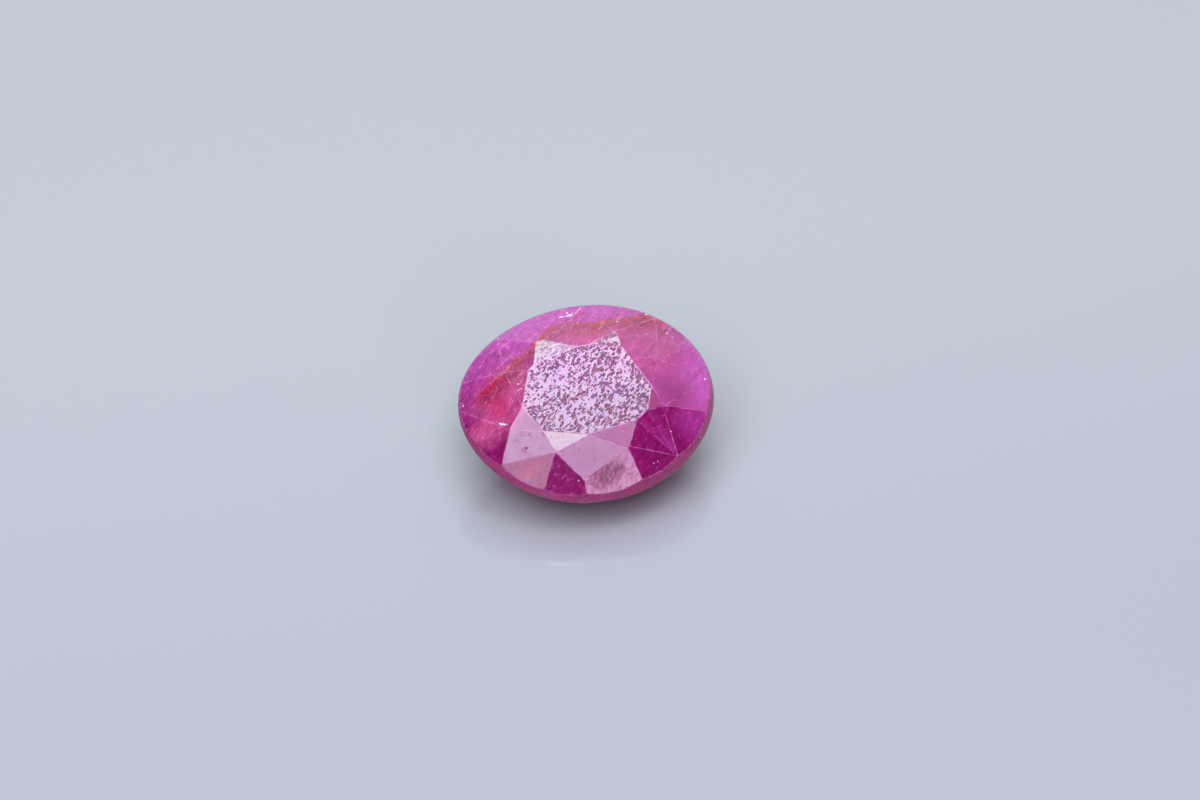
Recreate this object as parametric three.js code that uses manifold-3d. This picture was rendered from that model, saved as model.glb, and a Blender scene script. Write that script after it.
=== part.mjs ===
// A native-cut oval ruby: one crystal, lapped by hand into a mixed cut.
//
// The crown has a small table, eight stars, eight mains and sixteen upper girdle facets.
// The girdle is a thick wall. The pavilion is cut in three steps down to a short keel.
// The stone lies on the front facet of its lowest step, so its table leans forward.
//
// Millimetres, +Z up. X runs along the oval, Y across it, and -Y is the front.
// The cutting is worked out with the girdle level and its centre at the origin.

import * as THREE from 'three';
import { mergeVertices } from 'three/addons/utils/BufferGeometryUtils.js';
import Module from 'manifold-3d';

const wasm = await Module();
wasm.setup();

// Girdle outline: an 11 by 9 mm oval, a little off true as hand lapping leaves it.
const LENGTH = 11;
const WIDTH = 9.07;
const OUTLINE_WAVES = [
  { lobes: 2, depth: 0.006, peak: 45 },
  { lobes: 3, depth: 0.011, peak: 37 },
  { lobes: 4, depth: 0.005, peak: -14 },
];

// Girdle band: a wall that is widest at WIDEST and drawn in by EDGE_INSET at GIRDLE_HALF above and
// below the middle of the girdle. A roundness of 1 would be a straight taper, and 2 is a barrel.
// The crown's edge runs higher on one side of the stone, by EDGE_LEAN towards EDGE_LEAN_FACING.
// The band is turned from BAND_BOTTOM to BAND_TOP, and the facets then trim both its edges.
const GIRDLE_HALF = 0.41;
const EDGE_INSET = 0.25;
const WIDEST = -0.12;
const ROUNDNESS = 1.15;
const EDGE_LEAN = 0.05;
const EDGE_LEAN_FACING = -35;
const BAND_TOP = 0.56;
const BAND_BOTTOM = -0.36;
const BAND_STEPS = 12;
const OUTLINE_STEPS = 120;

// Heights above and depths below the middle of the girdle.
const TABLE_HEIGHT = 1.4;
const KEEL_DEPTH = 3.7;

// Crown, counter-clockwise from the front left, one row for each main facet.
// corners: where the main starts on the table's edge, one corner or a short edge.
// foot: where it ends on the girdle, as an angle and a lift above the crown's edge.
// tip: the star tip between this main and the next one, with its height.
// joint: where the two upper girdle facets below that tip meet, as an angle and a lift.
const CROWN = [
  {
    corners: [[-2.23, -1.63]],
    foot: [-143, 0.02], tip: [-1.88, -2.53, 1.135], joint: [-118, -0.12],
  },
  { corners: [[-0.37, -2.02]], foot: [-98, -0.05], tip: [1.24, -2.77, 1.155], joint: [-71, 0.02] },
  {
    corners: [[1.78, -1.66], [2.32, -1.25]],
    foot: [-49, 0.03], tip: [3.07, -1.1, 1.25], joint: [-18, 0],
  },
  { corners: [[2.67, -0.2]], foot: [4, -0.095], tip: [3.17, 1.07, 1.185], joint: [25, -0.07] },
  { corners: [[1.76, 1.67]], foot: [49, 0.01], tip: [1.58, 2.61, 1.165], joint: [65, 0] },
  {
    corners: [[0.34, 2.05], [-0.22, 2.03]],
    foot: [85, 0.08], tip: [-1.8, 2.63, 1.095], joint: [107, 0],
  },
  {
    corners: [[-2.16, 1.48], [-2.44, 1.24]],
    foot: [131, 0.08], tip: [-3.42, 1.43, 1.05], joint: [160, -0.25],
  },
  {
    corners: [[-2.97, -0.41]],
    foot: [175, -0.26], tip: [-3.63, -1.25, 1.12], joint: [-163, -0.1],
  },
];

// Pavilion: the ovals between its steps, each at its depth, from the girdle to the keel.
const PAVILION_RINGS = [
  { depth: GIRDLE_HALF, halfLength: LENGTH / 2 - EDGE_INSET, halfWidth: WIDTH / 2 - EDGE_INSET },
  { depth: 1.55, halfLength: 3.78, halfWidth: 3.28 },
  { depth: 2.87, halfLength: 2.1, halfWidth: 2.05 },
  { depth: KEEL_DEPTH, halfLength: 1, halfWidth: 0 },
];
// The directions its facets face, in degrees: those of every step, then those between them.
const STEP_FACINGS = [0, 40, 90, 140, 180, 220, 270, 320];
const BETWEEN_FACINGS = [19, 64, 116, 161, 199, 244, 296, 341];
const REST_FACING = 270;

const RUBY = new THREE.MeshStandardMaterial({ color: 0xb0307e, roughness: 0.12, metalness: 0 });

// The blank is turned round at BLANK_RADIUS and then drawn out to the oval.
const BLANK_RADIUS = 5;
const BLANK_TOP = 1.8;
const BLANK_BOTTOM = -4;
const BLANK_END_INSET = 1.7;
const LAP_SIZE = 40;
const SAME_POINT = 1e-4;
const UP = new THREE.Vector3(0, 0, 1);

// A closed three.js geometry as a solid that can be cut.
function solidFrom(geometry) {
  geometry.deleteAttribute('normal');
  geometry.deleteAttribute('uv');
  const merged = mergeVertices(geometry, SAME_POINT);
  const corners = merged.index.array;
  const triangles = [];
  for (let i = 0; i < corners.length; i += 3) {
    const [a, b, c] = [corners[i], corners[i + 1], corners[i + 2]];
    if (a !== b && b !== c && c !== a) {
      triangles.push(a, b, c);
    }
  }
  return new wasm.Manifold(new wasm.Mesh({
    numProp: 3,
    vertProperties: new Float32Array(merged.getAttribute('position').array),
    triVerts: new Uint32Array(triangles),
  }));
}

// A cut solid as a three.js geometry.
function geometryFrom(solid) {
  const { vertProperties, triVerts } = solid.getMesh();
  const geometry = new THREE.BufferGeometry();
  geometry.setAttribute('position', new THREE.BufferAttribute(vertProperties, 3));
  geometry.setIndex(new THREE.BufferAttribute(triVerts, 1));
  return geometry;
}

// A point of the oval outline at an angle, drawn in by an inset.
function outlinePoint(angle, inset) {
  let swell = 1;
  for (const { lobes, depth, peak } of OUTLINE_WAVES) {
    swell += depth * Math.cos(lobes * (angle - THREE.MathUtils.degToRad(peak)));
  }
  const x = (LENGTH / 2 * swell - inset) * Math.cos(angle);
  const y = (WIDTH / 2 * swell - inset) * Math.sin(angle);
  return [x, y];
}

// How far the band is drawn in at a height above or below the middle of the girdle.
function bandInset(height) {
  const fromWidest = height - WIDEST;
  const side = fromWidest > 0 ? GIRDLE_HALF - WIDEST : GIRDLE_HALF + WIDEST;
  return EDGE_INSET * (Math.abs(fromWidest) / side) ** ROUNDNESS;
}

// The rough preform: the girdle band, run on above and below it.
function preform() {
  const profile = [
    new THREE.Vector2(0, BLANK_BOTTOM),
    new THREE.Vector2(BLANK_RADIUS - BLANK_END_INSET, BLANK_BOTTOM),
  ];
  for (let step = 0; step <= BAND_STEPS; step++) {
    const height = THREE.MathUtils.lerp(BAND_BOTTOM, BAND_TOP, step / BAND_STEPS);
    profile.push(new THREE.Vector2(BLANK_RADIUS - bandInset(height), height));
  }
  profile.push(new THREE.Vector2(BLANK_RADIUS - BLANK_END_INSET, BLANK_TOP));
  profile.push(new THREE.Vector2(0, BLANK_TOP));

  const blank = new THREE.LatheGeometry(profile, OUTLINE_STEPS);
  blank.rotateX(Math.PI / 2);
  const position = blank.getAttribute('position');
  for (let i = 0; i < position.count; i++) {
    const radius = Math.hypot(position.getX(i), position.getY(i));
    if (radius > SAME_POINT) {
      const angle = Math.atan2(position.getY(i), position.getX(i));
      position.setXY(i, ...outlinePoint(angle, BLANK_RADIUS - radius));
    }
  }
  return solidFrom(blank);
}

// A flat lap held against a plane: a block on the plane's outer side, to be cut away.
function lapAt(normal, through) {
  const block = new THREE.BoxGeometry(LAP_SIZE, LAP_SIZE, LAP_SIZE);
  block.translate(0, 0, LAP_SIZE / 2);
  block.applyQuaternion(new THREE.Quaternion().setFromUnitVectors(UP, normal));
  block.translate(through.x, through.y, through.z);
  return solidFrom(block);
}

// The lap for a crown facet that passes through three meet points.
function crownLap(a, b, c) {
  const plane = new THREE.Plane().setFromCoplanarPoints(a, b, c);
  if (plane.normal.z < 0) {
    plane.negate();
  }
  return lapAt(plane.normal, a);
}

// A corner of the table.
function onTable([x, y]) {
  return new THREE.Vector3(x, y, TABLE_HEIGHT);
}

// A point where the crown's facets end on the girdle.
function onCrownEdge([degrees, lift]) {
  const lean = EDGE_LEAN * Math.cos(THREE.MathUtils.degToRad(degrees - EDGE_LEAN_FACING));
  const height = GIRDLE_HALF + lean + lift;
  const [x, y] = outlinePoint(THREE.MathUtils.degToRad(degrees), bandInset(height));
  return new THREE.Vector3(x, y, height);
}

// Table, stars, mains and upper girdle facets.
function crownLaps() {
  const laps = [lapAt(UP, onTable([0, 0]))];
  CROWN.forEach((main, i) => {
    const previous = CROWN.at(i - 1);
    const next = CROWN[(i + 1) % CROWN.length];
    const first = onTable(main.corners[0]);
    const last = onTable(main.corners.at(-1));
    const foot = onCrownEdge(main.foot);
    const tip = new THREE.Vector3(...main.tip);
    const joint = onCrownEdge(main.joint);

    laps.push(crownLap(last, onTable(next.corners[0]), tip));
    if (main.corners.length === 2) {
      laps.push(crownLap(first, last, foot));
    } else {
      laps.push(crownLap(first, new THREE.Vector3(...previous.tip), tip));
    }
    laps.push(crownLap(tip, joint, foot));
    laps.push(crownLap(tip, joint, onCrownEdge(next.foot)));
  });
  return laps;
}

// How far a ring of the pavilion reaches in one direction.
function reach(ring, angle) {
  return Math.hypot(ring.halfLength * Math.cos(angle), ring.halfWidth * Math.sin(angle));
}

// The slope of a pavilion facet, from level, that touches the rings above and below it.
function stepSlope(step, angle) {
  const [upper, lower] = [PAVILION_RINGS[step], PAVILION_RINGS[step + 1]];
  return Math.atan2(lower.depth - upper.depth, reach(upper, angle) - reach(lower, angle));
}

// Three steps of eight facets, and eight more between them under the girdle.
function pavilionLaps() {
  const laps = [];
  const cut = (step, degrees) => {
    const angle = THREE.MathUtils.degToRad(degrees);
    const slope = stepSlope(step, angle);
    const lower = PAVILION_RINGS[step + 1];
    const out = new THREE.Vector3(Math.cos(angle), Math.sin(angle), 0);
    const normal = out.clone().multiplyScalar(Math.sin(slope)).addScaledVector(UP, -Math.cos(slope));
    const through = out.multiplyScalar(reach(lower, angle)).addScaledVector(UP, -lower.depth);
    laps.push(lapAt(normal, through));
  };
  for (let step = 0; step < PAVILION_RINGS.length - 1; step++) {
    STEP_FACINGS.forEach((degrees) => cut(step, degrees));
  }
  BETWEEN_FACINGS.forEach((degrees) => cut(0, degrees));
  return laps;
}

// The preform with every facet lapped.
function cutStone() {
  let stone = preform();
  for (const lap of [...crownLaps(), ...pavilionLaps()]) {
    stone = stone.subtract(lap);
  }
  return geometryFrom(stone);
}

// Laid down on the lowest front facet, centred over the origin.
function layDown(geometry) {
  geometry.rotateX(stepSlope(PAVILION_RINGS.length - 2, THREE.MathUtils.degToRad(REST_FACING)));
  geometry.computeBoundingBox();
  const { min, max } = geometry.boundingBox;
  geometry.translate(-(min.x + max.x) / 2, -(min.y + max.y) / 2, -min.z);
  return geometry;
}

const ruby = new THREE.Mesh(layDown(cutStone()), RUBY);
ruby.name = 'ruby';

const part = new THREE.Group();
part.add(ruby);

export default part;
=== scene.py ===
"""A cloudy ruby in a native oval cut, lying on a pale, polished studio floor.

The stone is one piece of faceted corundum. Its cut comes from the CAD model, and this script
softens the cut's edges, chips it, and gives it its colour, veins, haze and lap marks.
"""

import math
import random

import bmesh
import bpy
from mathutils import Matrix, Vector
from mathutils.bvhtree import BVHTree


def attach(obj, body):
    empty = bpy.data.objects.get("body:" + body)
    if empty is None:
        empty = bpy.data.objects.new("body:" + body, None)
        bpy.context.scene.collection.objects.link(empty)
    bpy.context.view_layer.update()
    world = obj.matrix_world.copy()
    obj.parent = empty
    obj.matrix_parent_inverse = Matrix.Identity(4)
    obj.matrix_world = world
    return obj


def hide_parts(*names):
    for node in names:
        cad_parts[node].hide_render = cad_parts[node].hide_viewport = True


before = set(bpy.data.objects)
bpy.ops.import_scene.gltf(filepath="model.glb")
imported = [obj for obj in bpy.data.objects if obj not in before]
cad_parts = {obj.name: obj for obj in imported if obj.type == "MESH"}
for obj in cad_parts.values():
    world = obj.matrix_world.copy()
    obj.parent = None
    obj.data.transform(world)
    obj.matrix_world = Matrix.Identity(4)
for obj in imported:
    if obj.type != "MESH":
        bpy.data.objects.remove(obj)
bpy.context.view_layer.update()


# The cut stone
# One crystal of ruby, lapped by hand: its facets are flat, their edges are slightly worn, and
# the thick girdle is ground to a curve. It lies on a pavilion facet, leaning forward.

# Lengths are in millimetres, as the wear is too fine to work in metres.
MM = 0.001
LEAN = math.radians(22.042)
GIRDLE_CENTRE = Vector((0.022, -0.001, 3.430))
SAME_POINT = 0.001
SLIVER = 0.02
FLAT_ANGLE = math.radians(0.3)
FACET_AREA = 0.06
EDGE_WEAR = 0.022
LEAST_EDGE = math.radians(2)

level_to_lying = Matrix.Translation(GIRDLE_CENTRE) @ Matrix.Rotation(LEAN, 4, "X")
lean = level_to_lying.to_3x3()
stone_axis = lean @ Vector((0, 0, 1))


def on_stone(x, y, z):
    """A point given in millimetres from the girdle's centre, with the table level."""
    return level_to_lying @ Vector((x, y, z))


cut = bmesh.new()
cut.from_mesh(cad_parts["ruby"].data)
bmesh.ops.scale(cut, vec=(1 / MM, 1 / MM, 1 / MM), verts=cut.verts)
bmesh.ops.remove_doubles(cut, verts=cut.verts, dist=SAME_POINT)
bmesh.ops.dissolve_limit(
    cut, angle_limit=FLAT_ANGLE, verts=cut.verts, edges=cut.edges, delimit=set()
)
bmesh.ops.remove_doubles(cut, verts=cut.verts, dist=SLIVER)
# The girdle's curve is made of many narrow faces, which are shaded as one.
for face in cut.faces:
    face.smooth = face.calc_area() < FACET_AREA

edge_wear = cut.faces.layers.float.new("edge_wear")
facet_edges = [
    edge
    for edge in cut.edges
    if len(edge.link_faces) == 2
    and not all(face.smooth for face in edge.link_faces)
    and edge.calc_face_angle() > LEAST_EDGE
]
worn = bmesh.ops.bevel(
    cut,
    geom=facet_edges,
    offset=EDGE_WEAR,
    offset_type="OFFSET",
    affect="EDGES",
    segments=2,
    profile=0.5,
    material=-1,
    clamp_overlap=False,
)
for face in worn["faces"]:
    face.smooth = True
    face[edge_wear] = 1.0

cut_surface = BVHTree.FromBMesh(cut)
stone_mesh = bpy.data.meshes.new("ruby_stone")
cut.to_mesh(stone_mesh)
cut.free()
stone = bpy.data.objects.new("ruby_stone", stone_mesh)
bpy.context.scene.collection.objects.link(stone)


# Chips and pits
# Ruby is brittle: its edges lose small flakes, and crystals that the lap tears out leave pits.
# A crushed hollow is white inside and catches the light. A clean pit looks dark.

CRUSHED, CLEAN = 0, 1

# Each row: where it lies, seen along the stone's axis, its length, width and depth, the turn of
# its length in degrees, and its floor.
CHIPS = [
    ((-0.52, 3.79), 0.40, 0.10, 0.04, -8, CRUSHED),
    ((-0.16, 3.82), 0.30, 0.17, 0.05, 16, CRUSHED),
    ((-0.26, 3.97), 0.08, 0.10, 0.03, 50, CRUSHED),
    ((-3.82, -0.93), 0.40, 0.12, 0.04, -24, CRUSHED),
    ((-2.98, 1.05), 0.08, 0.06, 0.02, 20, CRUSHED),
    ((-2.95, 0.71), 0.07, 0.07, 0.02, 0, CRUSHED),
    ((-3.04, 0.44), 0.06, 0.05, 0.02, 0, CRUSHED),
    ((-2.86, 0.46), 0.05, 0.05, 0.02, 0, CRUSHED),
    ((-5.30, 0.48), 0.08, 0.05, 0.02, 80, CRUSHED),
    ((-3.36, 3.24), 0.12, 0.06, 0.03, 40, CRUSHED),
    ((1.74, 3.16), 0.07, 0.06, 0.02, 0, CRUSHED),
    ((3.10, 3.52), 0.12, 0.07, 0.03, -40, CRUSHED),
    ((2.91, 2.42), 0.05, 0.09, 0.02, 30, CRUSHED),
    ((3.84, 2.47), 0.08, 0.07, 0.03, 0, CRUSHED),
    ((4.03, 2.28), 0.05, 0.05, 0.02, 0, CRUSHED),
    ((0.07, 3.32), 0.05, 0.05, 0.02, 0, CRUSHED),
    ((-1.03, -3.76), 0.07, 0.06, 0.02, 0, CRUSHED),
    ((1.23, -1.26), 0.09, 0.06, 0.03, 30, CRUSHED),
    ((3.21, -2.15), 0.06, 0.05, 0.02, 0, CRUSHED),
    ((2.46, -3.34), 0.06, 0.05, 0.02, 0, CRUSHED),
    ((2.28, -3.41), 0.05, 0.05, 0.02, 0, CRUSHED),
    ((4.53, -2.30), 0.09, 0.07, 0.02, 0, CRUSHED),
    ((5.10, 0.20), 0.06, 0.12, 0.02, 0, CRUSHED),
    ((-1.79, 1.73), 0.10, 0.09, 0.05, 20, CLEAN),
    ((-3.04, -2.12), 0.17, 0.08, 0.05, -25, CLEAN),
    ((-5.30, 0.62), 0.14, 0.10, 0.04, 60, CLEAN),
    ((-1.62, 0.34), 0.30, 0.04, 0.04, 32, CLEAN),
    ((-2.47, -0.80), 0.11, 0.09, 0.05, 0, CLEAN),
    ((-0.61, 1.55), 0.09, 0.09, 0.05, 0, CLEAN),
    ((3.80, 2.66), 0.10, 0.10, 0.05, 0, CLEAN),
    ((-0.55, -3.67), 0.08, 0.06, 0.04, 0, CLEAN),
    ((1.84, -3.05), 0.07, 0.08, 0.04, 0, CLEAN),
]
ABOVE_STONE = 3.0
LONG_CHIP = 0.2
DEEPEST_NICK, HIGHEST_CRUMB = -0.5, 0.4

hollows = bmesh.new()
raggedness = random.Random(11)
for (x, y), length, width, depth, turn, floor_kind in CHIPS:
    place, outward, _, _ = cut_surface.ray_cast(on_stone(x, y, ABOVE_STONE), -stone_axis)
    turned = lean @ Matrix.Rotation(math.radians(turn), 3, "Z") @ Vector((1, 0, 0))
    sideways = outward.cross(turned).normalized()
    lengthways = sideways.cross(outward)
    seat = (
        Matrix.Translation(place)
        @ Matrix((lengthways, sideways, outward)).transposed().to_4x4()
    )
    made = bmesh.ops.create_icosphere(
        hollows,
        subdivisions=3 if length > LONG_CHIP else 2,
        radius=1,
        matrix=seat @ Matrix.Diagonal((length / 2, width / 2, depth, 1)),
    )
    for vert in made["verts"]:
        vert.co += (vert.co - place) * raggedness.uniform(DEEPEST_NICK, HIGHEST_CRUMB)
    for face in {face for vert in made["verts"] for face in vert.link_faces}:
        face.material_index = floor_kind
        face.smooth = True
hollows_mesh = bpy.data.meshes.new("hollows")
hollows.to_mesh(hollows_mesh)
hollows.free()
crushed_ruby = bpy.data.materials.new("crushed_ruby")
torn_ruby = bpy.data.materials.new("torn_ruby")
hollows_mesh.materials.append(crushed_ruby)
hollows_mesh.materials.append(torn_ruby)
hollows_object = bpy.data.objects.new("hollows", hollows_mesh)
bpy.context.scene.collection.objects.link(hollows_object)

ruby = bpy.data.materials.new("cloudy_ruby")
stone_mesh.materials.append(ruby)
chip = stone.modifiers.new("chips", "BOOLEAN")
chip.operation = "DIFFERENCE"
chip.solver = "EXACT"
chip.use_self = True
chip.material_mode = "TRANSFER"
chip.object = hollows_object
chipped = bpy.data.meshes.new_from_object(
    stone.evaluated_get(bpy.context.evaluated_depsgraph_get())
)
stone.modifiers.clear()
stone.data = chipped
bpy.data.meshes.remove(stone_mesh)
chipped.name = "ruby_stone"
chipped.transform(Matrix.Scale(MM, 4))
bpy.data.objects.remove(hollows_object)
bpy.data.meshes.remove(hollows_mesh)

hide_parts("ruby")
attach(stone, "root")


# Ruby
# Cloudy corundum: see-through for a few millimetres, then milky. The colour lies in zones,
# deep magenta in front and violet-pink behind, with a rust-red vein along a healed crack.

def linear(red, green, blue):
    """A colour given as on a screen, from 0 to 255, as Blender's linear values."""
    channels = []
    for level in (red, green, blue):
        level /= 255
        channels.append(level / 12.92 if level <= 0.04045 else ((level + 0.055) / 1.055) ** 2.4)
    return (*channels, 1.0)


ruby.use_nodes = True
tree = ruby.node_tree
surface_shader = tree.nodes["Principled BSDF"]


def place_node(kind, **settings):
    """A new node, with its settings, in the node tree that is being built."""
    node = tree.nodes.new(kind)
    for name, value in settings.items():
        setattr(node, name, value)
    return node


def feed(socket, value):
    """Gives a socket a number, a vector, or another node's output."""
    if isinstance(value, bpy.types.NodeSocket):
        tree.links.new(value, socket)
    else:
        socket.default_value = value


def mapped(vector, location=(0, 0, 0), turn=0, scale=(1, 1, 1)):
    """A pattern's own space: moved to a place, turned about the axis, its unit a size in mm."""
    node = place_node("ShaderNodeMapping", vector_type="TEXTURE")
    feed(node.inputs["Vector"], vector)
    node.inputs["Location"].default_value = location
    node.inputs["Rotation"].default_value = (0, 0, math.radians(turn))
    node.inputs["Scale"].default_value = scale
    return node.outputs["Vector"]


def noise(vector, scale=1.0, detail=4.0, roughness=0.55, distortion=0.0):
    """A cloudy pattern, mostly between 0.3 and 0.7."""
    node = place_node("ShaderNodeTexNoise")
    feed(node.inputs["Vector"], vector)
    node.inputs["Scale"].default_value = scale
    node.inputs["Detail"].default_value = detail
    node.inputs["Roughness"].default_value = roughness
    node.inputs["Distortion"].default_value = distortion
    return node.outputs["Fac"]


def ranged(value, low, high, to_low=0.0, to_high=1.0):
    """A value's range mapped smoothly to another."""
    node = place_node("ShaderNodeMapRange", interpolation_type="SMOOTHSTEP")
    feed(node.inputs["Value"], value)
    node.inputs["From Min"].default_value = low
    node.inputs["From Max"].default_value = high
    feed(node.inputs["To Min"], to_low)
    feed(node.inputs["To Max"], to_high)
    return node.outputs["Result"]


def calc(operation, first, second=0.0):
    """A sum worked out at each point."""
    node = place_node("ShaderNodeMath", operation=operation)
    feed(node.inputs[0], first)
    feed(node.inputs[1], second)
    return node.outputs["Value"]


def both(*masks):
    """Masks multiplied, so the result is high only where all of them are."""
    result = masks[0]
    for mask in masks[1:]:
        result = calc("MULTIPLY", result, mask)
    return result


def tinted(mask, under, over):
    """One colour laid over another where a mask is high."""
    node = place_node("ShaderNodeMix", data_type="RGBA")
    feed(node.inputs["Factor"], mask)
    feed(node.inputs["A"], under)
    feed(node.inputs["B"], over)
    return node.outputs["Result"]


def parts_of(vector):
    """The X and Y of a vector."""
    node = place_node("ShaderNodeSeparateXYZ")
    feed(node.inputs["Vector"], vector)
    return node.outputs["X"], node.outputs["Y"]


# Position in millimetres from the girdle's centre, turned so that the table is level.
level = level_to_lying.inverted()
level_space = place_node("ShaderNodeMapping")
feed(level_space.inputs["Vector"], place_node("ShaderNodeTexCoord").outputs["Object"])
level_space.inputs["Location"].default_value = level.translation
level_space.inputs["Rotation"].default_value = level.to_euler()
level_space.inputs["Scale"].default_value = (1 / MM, 1 / MM, 1 / MM)
position = level_space.outputs["Vector"]

drift = place_node("ShaderNodeTexNoise")
feed(drift.inputs["Vector"], position)
drift.inputs["Scale"].default_value = 0.9
drift.inputs["Detail"].default_value = 6.0


def shaken(reach):
    """The position moved about by a slow noise, by up to half its reach."""
    node = place_node("ShaderNodeVectorMath", operation="MULTIPLY_ADD")
    feed(node.inputs[0], drift.outputs["Color"])
    node.inputs[1].default_value = (reach, reach, reach)
    middle = place_node("ShaderNodeVectorMath", operation="ADD")
    feed(middle.inputs[0], position)
    middle.inputs[1].default_value = (-reach / 2, -reach / 2, -reach / 2)
    feed(node.inputs[2], middle.outputs["Vector"])
    return node.outputs["Vector"]


bent = shaken(0.9)
wavy = shaken(0.34)
ruffled = shaken(0.12)


def zone(centre, reach, turn=0, edge=0.5):
    """A soft-edged oval body in the crystal: 1 inside, 0 outside."""
    ball = place_node("ShaderNodeTexGradient", gradient_type="SPHERICAL")
    feed(ball.inputs["Vector"], mapped(bent, centre, turn, reach))
    return ranged(ball.outputs["Fac"], 0.0, edge)


DEEP_MAGENTA = linear(150, 3, 102)
VIOLET_PINK = linear(198, 78, 170)
ROSE = linear(190, 60, 130)
CRIMSON = linear(214, 88, 142)
FUCHSIA = linear(184, 50, 146)
GIRDLE_SHADE_MAGENTA = linear(188, 1, 120)
CARMINE = linear(196, 24, 86)
MILKY_PINK = linear(212, 134, 184)
RUST = linear(196, 72, 54)
RUST_ROSE = linear(164, 34, 60)
BROWN_PINK = linear(190, 92, 112)
DARK_BROWN = linear(120, 24, 52)
SHADED_PIT_PURPLE = linear(104, 14, 96)
SHADED_PIT_RED = linear(132, 20, 54)
COLD_VIOLET = linear(120, 60, 160)
WORN_HIGHLIGHT_PINK = linear(230, 150, 206)
REFLECTION_LILAC = linear(206, 84, 178)

# Each row: centre, reach, turn, softness and colour of a zone.
ZONES = [
    ((2.6, 1.9, 0.8), (3.0, 2.4, 2.5), 0, 0.6, ROSE),
    ((5.2, 0.2, 0.3), (1.6, 3.2, 2.5), 0, 0.8, VIOLET_PINK),
    ((4.5, -1.6, 0.3), (1.6, 1.4, 2.0), 0, 0.8, FUCHSIA),
    ((-3.7, 0.1, 0.8), (1.9, 1.9, 1.8), 20, 0.8, CRIMSON),
    ((-4.5, -1.0, 0.5), (1.3, 0.9, 1.6), 0, 0.9, CRIMSON),
    ((0.5, 2.6, 1.0), (2.4, 0.8, 1.4), 0, 0.9, CRIMSON),
]
across, along = parts_of(bent)
to_back = ranged(along, -1.2, 3.4)
colour = tinted(to_back, DEEP_MAGENTA, VIOLET_PINK)
for centre, reach, turn, edge, tint in ZONES:
    colour = tinted(zone(centre, reach, turn, edge), colour, tint)

# Growth streaks and lap scratches run the same way through the stone.
GRAIN_TURN = 46
streaks = noise(mapped(position, turn=GRAIN_TURN, scale=(1.6, 0.16, 0.6)), 1.0, 6.0, 0.6, 0.8)
scratches = noise(mapped(position, turn=GRAIN_TURN, scale=(0.45, 0.06, 0.2)), 1.0, 3.0, 0.7, 0.4)
mottle = noise(position, 3.8, 6.0, 0.7)
haze = noise(bent, 1.6, 6.0, 0.6)

# The vein: a healed crack stained with iron. Its line is its crest, seen along the stone's
# axis. Below the crest the stain fades out towards the table.
VEIN_LINE = [
    (-5.5, 0.0), (-4.6, 0.75), (-3.9, 1.15), (-3.2, 1.65), (-2.4, 2.25), (-1.7, 2.75),
    (-0.7, 3.38), (0.0, 3.36), (0.6, 3.22), (1.3, 3.27), (2.1, 3.33), (2.8, 3.52),
    (3.6, 3.2), (5.5, 2.2),
]
VEIN_WEST, VEIN_SPAN = -5.5, 11.0
VEIN_FRONT, VEIN_RISE = -1.0, 6.0

vein_x, vein_y = parts_of(wavy)
crest = place_node("ShaderNodeFloatCurve")
crest_line = crest.mapping.curves[0]
for _ in VEIN_LINE[1:-1]:
    crest_line.points.new(0, 0)
for spot, (x, y) in zip(crest_line.points, VEIN_LINE):
    spot.location = ((x - VEIN_WEST) / VEIN_SPAN, (y - VEIN_FRONT) / VEIN_RISE)
crest.mapping.update()
feed(crest.inputs["Value"], calc("DIVIDE", calc("SUBTRACT", vein_x, VEIN_WEST), VEIN_SPAN))
crest_y = calc("ADD", calc("MULTIPLY", crest.outputs["Value"], VEIN_RISE), VEIN_FRONT)
below = calc("SUBTRACT", crest_y, vein_y)
reached = both(ranged(vein_x, -5.0, -4.4), ranged(vein_x, 4.1, 3.4))
stain = both(
    reached, ranged(below, -0.06, 0.06), ranged(below, 1.25, 0.2), ranged(mottle, 0.30, 0.50)
)
rusty = both(
    reached, ranged(below, -0.07, 0.02), ranged(below, 0.40, 0.06), ranged(mottle, 0.38, 0.54)
)
colour = tinted(both(stain, 0.85), colour, RUST_ROSE)
colour = tinted(both(rusty, 0.9), colour, RUST)

# Side branches of the vein, and stains away from it. Each row: centre, reach, turn, colour.
STAINS = [
    ((0.05, 3.62, 0.7), (0.85, 0.17, 1.2), 24, CARMINE),
    ((-1.25, 3.20, 0.8), (0.80, 0.15, 1.2), 38, CARMINE),
    ((-2.95, 1.15, 1.2), (0.75, 1.20, 1.0), 10, BROWN_PINK),
    ((-4.15, 0.85, 0.7), (1.10, 0.45, 1.2), 32, CARMINE),
    ((-3.9, -0.1, 0.9), (0.80, 0.50, 1.2), 60, CARMINE),
    ((-3.0, -3.1, 0.6), (0.9, 0.5, 0.8), 20, BROWN_PINK),
]
for centre, reach, turn, tint in STAINS:
    mask = both(zone(centre, reach, turn, 0.8), ranged(mottle, 0.36, 0.56), 0.85)
    colour = tinted(mask, colour, tint)

# Which way a face looks, so that a flat facet can have a finish of its own.
looks = place_node(
    "ShaderNodeVectorTransform", vector_type="NORMAL", convert_from="WORLD", convert_to="OBJECT"
)
feed(looks.inputs["Vector"], place_node("ShaderNodeNewGeometry").outputs["True Normal"])


def facing(way):
    """The cosine between the way a face looks and a way given with the table level."""
    agreement = place_node("ShaderNodeVectorMath", operation="DOT_PRODUCT")
    feed(agreement.inputs[0], looks.outputs["Vector"])
    agreement.inputs[1].default_value = lean @ Vector(way).normalized()
    return agreement.outputs["Value"]


TABLE = (0, 0, 1)
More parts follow.
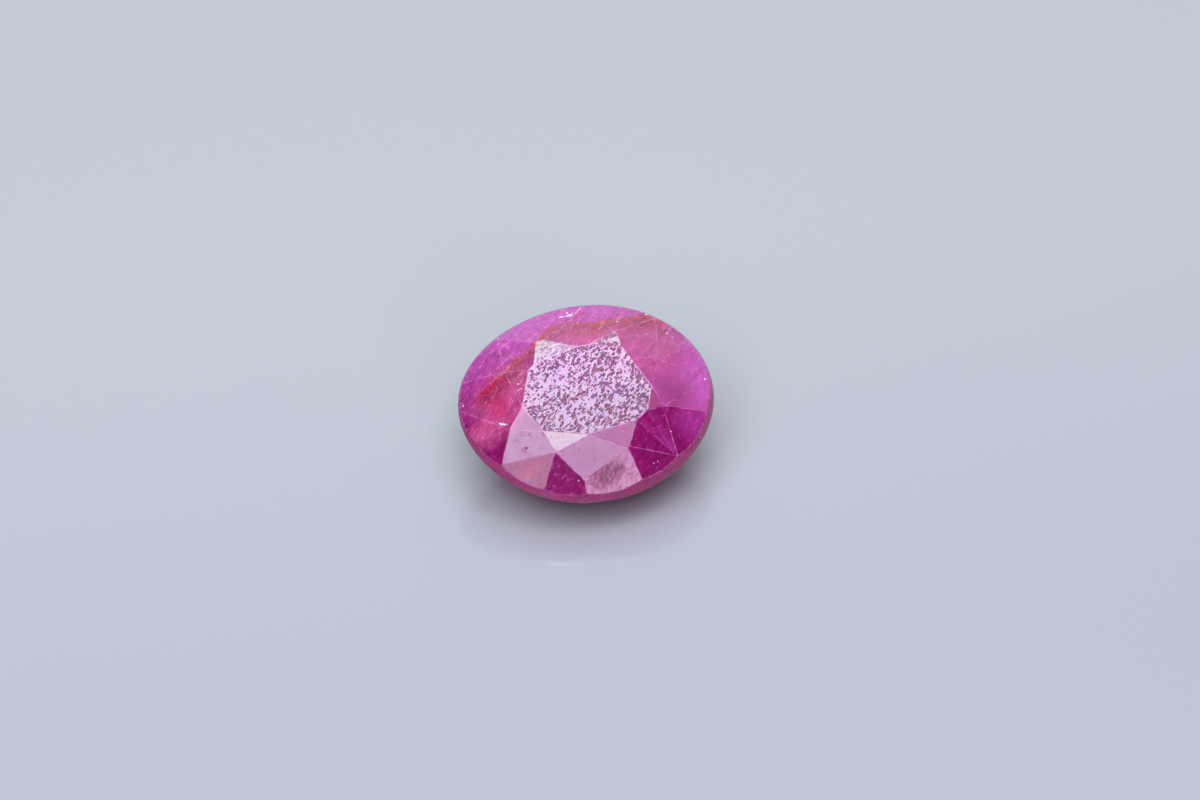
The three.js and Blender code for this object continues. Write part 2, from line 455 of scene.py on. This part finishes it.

# Painted shade: the ground girdle's wall is coloured a deeper magenta, most towards the front.
wall = ranged(facing(TABLE), 0.72, 0.55)
colour = tinted(both(wall, ranged(along, 2.0, -1.0)), colour, GIRDLE_SHADE_MAGENTA)

# Milky streaks behind, and dark ones everywhere.
colour = tinted(both(to_back, ranged(streaks, 0.50, 0.75, 0.0, 0.6)), colour, MILKY_PINK)
colour = tinted(ranged(streaks, 0.46, 0.28, 0.0, 0.5), colour, DEEP_MAGENTA)
colour = tinted(both(to_back, ranged(haze, 0.45, 0.75, 0.0, 0.3)), colour, MILKY_PINK)

# Painted reflections of the pavilion's facet edges on the right, each a pale line with a fainter
# side.
# Each row: a point on the line, seen along the stone's axis, and the line's turn.
REFLECTED_EDGE_LINES = [((2.50, -2.35), -44), ((2.76, -2.20), -63), ((3.00, -0.95), -66)]
REFLECTION_HALF, LINE_HALF, SIDE_WIDTH = 1.1, 0.035, 0.45
for (x, y), turn in REFLECTED_EDGE_LINES:
    run, off = parts_of(mapped(position, (x, y, 0), turn))
    near = ranged(calc("ABSOLUTE", run), REFLECTION_HALF, REFLECTION_HALF * 0.7)
    thin = ranged(calc("ABSOLUTE", off), LINE_HALF, 0.0, 0.0, 0.7)
    side = both(ranged(off, -0.01, 0.01), ranged(off, SIDE_WIDTH, 0.0, 0.0, 0.22))
    pale = both(near, calc("MAXIMUM", thin, side), ranged(haze, 0.35, 0.5))
    colour = tinted(pale, colour, REFLECTION_LILAC)

# Brown flecks lie along the vein and behind.
flecks = ranged(noise(mapped(position, turn=70, scale=(0.12, 0.09, 0.1)), 1.0, 2.0), 0.47, 0.38)
fleck_zone = calc("MAXIMUM", stain, both(to_back, 0.3))
colour = tinted(both(fleck_zone, flecks, 0.75), colour, DARK_BROWN)

# Which way four facets beside the table look.
BACK_STAR, BACK_STAR_LEFT = (0.068, 0.254, 0.965), (-0.079, 0.279, 0.957)
FRONT_LEFT, FRONT_RIGHT = (-0.271, -0.420, 0.866), (0.025, -0.471, 0.882)
NEARLY_FACING, FACING = 0.9986, 0.9993


def facet(way):
    """The mask of the one facet that looks this way."""
    return ranged(facing(way), NEARLY_FACING, FACING)


# The front facets are stained brown, and fine torn cracks run up the right one.
front_right = facet(FRONT_RIGHT)
feathers = noise(mapped(bent, turn=62, scale=(0.34, 0.09, 0.3)), 1.0, 4.0, 0.65, 1.2)
torn_zone = both(front_right, zone((0.2, -3.5, 0.8), (1.0, 0.9, 1.0), 0, 0.6))
cracked = both(torn_zone, ranged(feathers, 0.50, 0.43), 0.75)
stained = both(
    calc("MAXIMUM", facet(FRONT_LEFT), both(front_right, 0.5)), ranged(feathers, 0.44, 0.60)
)
colour = tinted(both(stained, 0.75), colour, BROWN_PINK)
colour = tinted(cracked, colour, DARK_BROWN)

# The table keeps the marks of a coarse lap: short torn pits, thickest on the right.
# They run on, fewer, over the facets behind it.
DASH_TURN = 40
DASH_CELL = (0.155, 0.09, 0.13)
back_stars = calc("ADD", both(facet(BACK_STAR), 0.8), both(facet(BACK_STAR_LEFT), 0.35))
coarse = calc("ADD", facet(TABLE), back_stars)
patches = noise(position, 0.8, 2.0)
dashes = place_node("ShaderNodeTexVoronoi", feature="F1")
feed(dashes.inputs["Vector"], mapped(ruffled, turn=DASH_TURN, scale=DASH_CELL))
dashes.inputs["Scale"].default_value = 1.0
dash_kind = place_node("ShaderNodeSeparateColor")
feed(dash_kind.inputs["Color"], dashes.outputs["Color"])
crowding = calc("ADD", both(across, 0.03), ranged(patches, 0.35, 0.65, 0.0, 0.2))
dash_size = calc("ADD", both(dash_kind.outputs["Red"], 0.6), crowding)
pits = both(
    coarse,
    ranged(calc("SUBTRACT", dash_size, dashes.outputs["Distance"]), -0.12, 0.10),
    ranged(dash_kind.outputs["Blue"], 0.0, 0.7, 0.45, 1.0),
)
# The pits are tinted purple and red, and their darkness is painted shade in the hollows.
pit_shade = tinted(ranged(dash_kind.outputs["Green"], 0.3, 0.6), SHADED_PIT_RED, SHADED_PIT_PURPLE)
colour = tinted(both(coarse, ranged(mottle, 0.46, 0.60), 0.45), colour, COLD_VIOLET)
colour = tinted(pits, colour, pit_shade)
open_marks = calc("MAXIMUM", pits, cracked)

shade = place_node("ShaderNodeHueSaturation")
feed(shade.inputs["Color"], colour)
feed(shade.inputs["Value"], both(
    ranged(scratches, 0.3, 0.7, 0.70, 1.24), ranged(mottle, 0.3, 0.7, 0.84, 1.14)
))

# Rubbed edges are pale and broken into dashes: the paleness is partly wear and partly a painted
# highlight.
edge_mark = place_node("ShaderNodeAttribute", attribute_name="edge_wear")
rubbed_and_lit = both(edge_mark.outputs["Fac"], ranged(mottle, 0.38, 0.62, 0.06, 0.55))
colour = tinted(rubbed_and_lit, shade.outputs["Color"], WORN_HIGHLIGHT_PINK)
feed(surface_shader.inputs["Base Color"], colour)

lapped = calc("ADD", ranged(scratches, 0.4, 0.66, 0.09, 0.22), ranged(mottle, 0.5, 0.7, 0.0, 0.2))
roughest = calc("MAXIMUM", open_marks, both(stained, 0.6))
marked = calc("ADD", lapped, both(roughest, 0.5))
feed(surface_shader.inputs["Roughness"], marked)

LAP_DEPTH, TEAR_DEPTH = 0.004 * MM, 0.03 * MM
lap_marks = place_node("ShaderNodeBump")
lap_marks.inputs["Strength"].default_value = 0.3
lap_marks.inputs["Distance"].default_value = LAP_DEPTH
feed(lap_marks.inputs["Height"], scratches)
tears = place_node("ShaderNodeBump", invert=True)
tears.inputs["Strength"].default_value = 0.6
tears.inputs["Distance"].default_value = TEAR_DEPTH
feed(tears.inputs["Height"], open_marks)
feed(tears.inputs["Normal"], lap_marks.outputs["Normal"])
feed(surface_shader.inputs["Normal"], tears.outputs["Normal"])

CORUNDUM_IOR = 1.77
surface_shader.inputs["Metallic"].default_value = 0.0
surface_shader.inputs["IOR"].default_value = CORUNDUM_IOR
surface_shader.inputs["Transmission Weight"].default_value = 0.35
surface_shader.inputs["Subsurface Weight"].default_value = 0.35
surface_shader.inputs["Subsurface Radius"].default_value = (1.0, 0.15, 0.6)
surface_shader.inputs["Subsurface Scale"].default_value = 0.8 * MM

LET_THROUGH = (0.97, 0.0, 0.90, 1.0)
ABSORBED_PER_METRE = 700.0
absorption = place_node("ShaderNodeVolumeAbsorption")
absorption.inputs["Color"].default_value = LET_THROUGH
absorption.inputs["Density"].default_value = ABSORBED_PER_METRE
feed(tree.nodes["Material Output"].inputs["Volume"], absorption.outputs["Volume"])


# Floors of the chips and pits
# Crushed corundum is a white, sugary powder over pink. A clean tear is dark and glassy.
# Both break up into the same fine grit.

GRAINS_PER_METRE = 30 / MM
GRAIN_HEIGHT = 0.01 * MM

GRIT_INPUTS = {"Dark": "Color", "Light": "Color", "Smooth": "Float", "Rough": "Float"}
GRIT_OUTPUTS = {"Color": "Color", "Roughness": "Float", "Height": "Float"}

grit = bpy.data.node_groups.new("grit", "ShaderNodeTree")
for name, kind in GRIT_INPUTS.items():
    grit.interface.new_socket(name, in_out="INPUT", socket_type=f"NodeSocket{kind}")
for name, kind in GRIT_OUTPUTS.items():
    grit.interface.new_socket(name, in_out="OUTPUT", socket_type=f"NodeSocket{kind}")
tree = grit
given = place_node("NodeGroupInput").outputs
result = place_node("NodeGroupOutput").inputs
grains = noise(place_node("ShaderNodeTexCoord").outputs["Object"], GRAINS_PER_METRE, 3.0, 0.7)
feed(result["Color"], tinted(ranged(grains, 0.35, 0.6), given["Dark"], given["Light"]))
feed(result["Roughness"], ranged(grains, 0.3, 0.7, given["Smooth"], given["Rough"]))
feed(result["Height"], grains)

# Each row: the material, and its values for the grit's inputs.
FLOORS = [
    (crushed_ruby, linear(204, 140, 184), linear(242, 226, 240), 0.30, 0.60),
    (torn_ruby, linear(70, 4, 44), linear(130, 20, 70), 0.25, 0.50),
]
for hollow_finish, *values in FLOORS:
    hollow_finish.use_nodes = True
    tree = hollow_finish.node_tree
    shader = tree.nodes["Principled BSDF"]
    gritty = place_node("ShaderNodeGroup", node_tree=grit)
    for name, value in zip(GRIT_INPUTS, values):
        gritty.inputs[name].default_value = value
    feed(shader.inputs["Base Color"], gritty.outputs["Color"])
    feed(shader.inputs["Roughness"], gritty.outputs["Roughness"])
    relief = place_node("ShaderNodeBump")
    relief.inputs["Strength"].default_value = 0.6
    relief.inputs["Distance"].default_value = GRAIN_HEIGHT
    feed(relief.inputs["Height"], gritty.outputs["Height"])
    feed(shader.inputs["Normal"], relief.outputs["Normal"])
    shader.inputs["IOR"].default_value = CORUNDUM_IOR


# Studio floor
# A pale grey polished sheet, far larger than the view, with painted light: a little lighter at its
# far side.
# It is not part of the stone.

FLOOR_HALF = 0.6
SWEEP_HALF = 16 * MM

floor_shape = bmesh.new()
bmesh.ops.create_grid(floor_shape, x_segments=1, y_segments=1, size=FLOOR_HALF)
floor_mesh = bpy.data.meshes.new("studio_floor")
floor_shape.to_mesh(floor_mesh)
floor_shape.free()
floor = bpy.data.objects.new("studio_floor", floor_mesh)
bpy.context.scene.collection.objects.link(floor)
floor_finish = bpy.data.materials.new("pale_polished_sheet")
floor_finish.use_nodes = True
tree = floor_finish.node_tree
floor_shader = tree.nodes["Principled BSDF"]
floor_shader.inputs["Roughness"].default_value = 0.12
_, depth_in = parts_of(place_node("ShaderNodeTexCoord").outputs["Object"])
# Painted light: the floor's colour gets lighter from front to back.
painted_light_sweep = ranged(depth_in, -SWEEP_HALF, SWEEP_HALF)
feed(floor_shader.inputs["Base Color"], tinted(painted_light_sweep, linear(150, 151, 150), linear(156, 158, 154)))
floor_mesh.materials.append(floor_finish)


# Studio light
# Soft boxes round the stone, each where one group of facets mirrors it to the viewer.

STONE_MIDDLE = Vector((0, 0, 3.5)) * MM
FILL_COLOUR, FILL_STRENGTH = (0.80, 0.88, 1.0, 1.0), 0.08

# Each row: direction from the stone, distance, width and depth in metres, brightness, colour.
SOFT_BOXES = {
    "overhead": ((-0.15, -0.13, 1.0), 0.30, 0.26, 0.36, 4.4, (0.93, 0.94, 1.18)),
    "over_table": ((0.12, -0.01, 0.99), 0.28, 0.09, 0.09, 3.2, (0.75, 1.0, 1.0)),
    "overhead_back": ((0.05, 0.505, 0.86), 0.36, 0.16, 0.07, 7.6, (0.68, 1.12, 1.0)),
    "overhead_front": ((-0.01, -0.60, 0.80), 0.25, 0.05, 0.05, 7.8, (0.92, 1.05, 1.1)),
    "front_right_high": ((0.20, -0.45, 0.87), 0.28, 0.05, 0.05, 3.2, (1.1, 0.80, 1.2)),
    "front_high": ((0.05, -0.71, 0.70), 0.35, 0.10, 0.07, 3.6, (1.05, 0.84, 1.25)),
    "front_left_high": ((-0.45, -0.60, 0.66), 0.35, 0.09, 0.07, 5.0, (1.0, 0.97, 1.25)),
    "front_left_low": ((-0.41, -0.745, 0.52), 0.35, 0.08, 0.06, 2.9, (1.0, 0.80, 1.1)),
    "front_low": ((0.20, -0.85, 0.49), 0.35, 0.09, 0.08, 5.8, (1.0, 0.80, 1.1)),
    "right_high": ((0.48, 0.06, 0.87), 0.28, 0.12, 0.06, 1.2, (1.2, 0.60, 1.0)),
    "right": ((0.74, 0.16, 0.65), 0.35, 0.18, 0.08, 1.2, (1.2, 0.60, 1.2)),
    "back_wall": ((0.10, 0.78, 0.60), 0.40, 0.60, 0.20, 1.0, (0.90, 0.93, 1.08)),
}
for name, (direction, distance, width, depth, brightness, tint) in SOFT_BOXES.items():
    box = bpy.data.lights.new(name, "AREA")
    box.shape = "RECTANGLE"
    box.size = width
    box.size_y = depth
    box.energy = brightness * math.pi * width * depth
    box.color = tint
    box_object = bpy.data.objects.new(name, box)
    toward = Vector(direction).normalized()
    box_object.location = STONE_MIDDLE + toward * distance
    box_object.rotation_euler = toward.to_track_quat("Z", "Y").to_euler()
    bpy.context.scene.collection.objects.link(box_object)

studio = bpy.data.worlds.new("studio")
studio.use_nodes = True
fill = studio.node_tree.nodes["Background"]
fill.inputs["Color"].default_value = FILL_COLOUR
fill.inputs["Strength"].default_value = FILL_STRENGTH
bpy.context.scene.world = studio
bpy.context.scene.view_settings.view_transform = "Standard"


# Camera
# A long lens from the front and a little to the left, 46 degrees above the floor.

CAMERA_RISE = math.radians(46)
CAMERA_TURN = math.radians(-10)
CAMERA_DISTANCE = 427.4 * MM
LENS, SENSOR = 300, 36
AIM_RIGHT, AIM_UP = 0.546, 0.084

right = Vector((math.cos(CAMERA_TURN), math.sin(CAMERA_TURN), 0))
back = Vector((
    math.sin(CAMERA_TURN) * math.cos(CAMERA_RISE),
    -math.cos(CAMERA_TURN) * math.cos(CAMERA_RISE),
    math.sin(CAMERA_RISE),
))
up = back.cross(right)
aim = (GIRDLE_CENTRE + AIM_RIGHT * right + AIM_UP * up) * MM

camera_data = bpy.data.cameras.new("camera")
camera_data.lens = LENS
camera_data.sensor_width = SENSOR
camera_data.clip_start = 0.01
camera = bpy.data.objects.new("camera", camera_data)
camera.matrix_world = (
    Matrix.Translation(aim + back * CAMERA_DISTANCE)
    @ Matrix((right, up, back)).transposed().to_4x4()
)
bpy.context.scene.collection.objects.link(camera)
bpy.context.scene.camera = camera
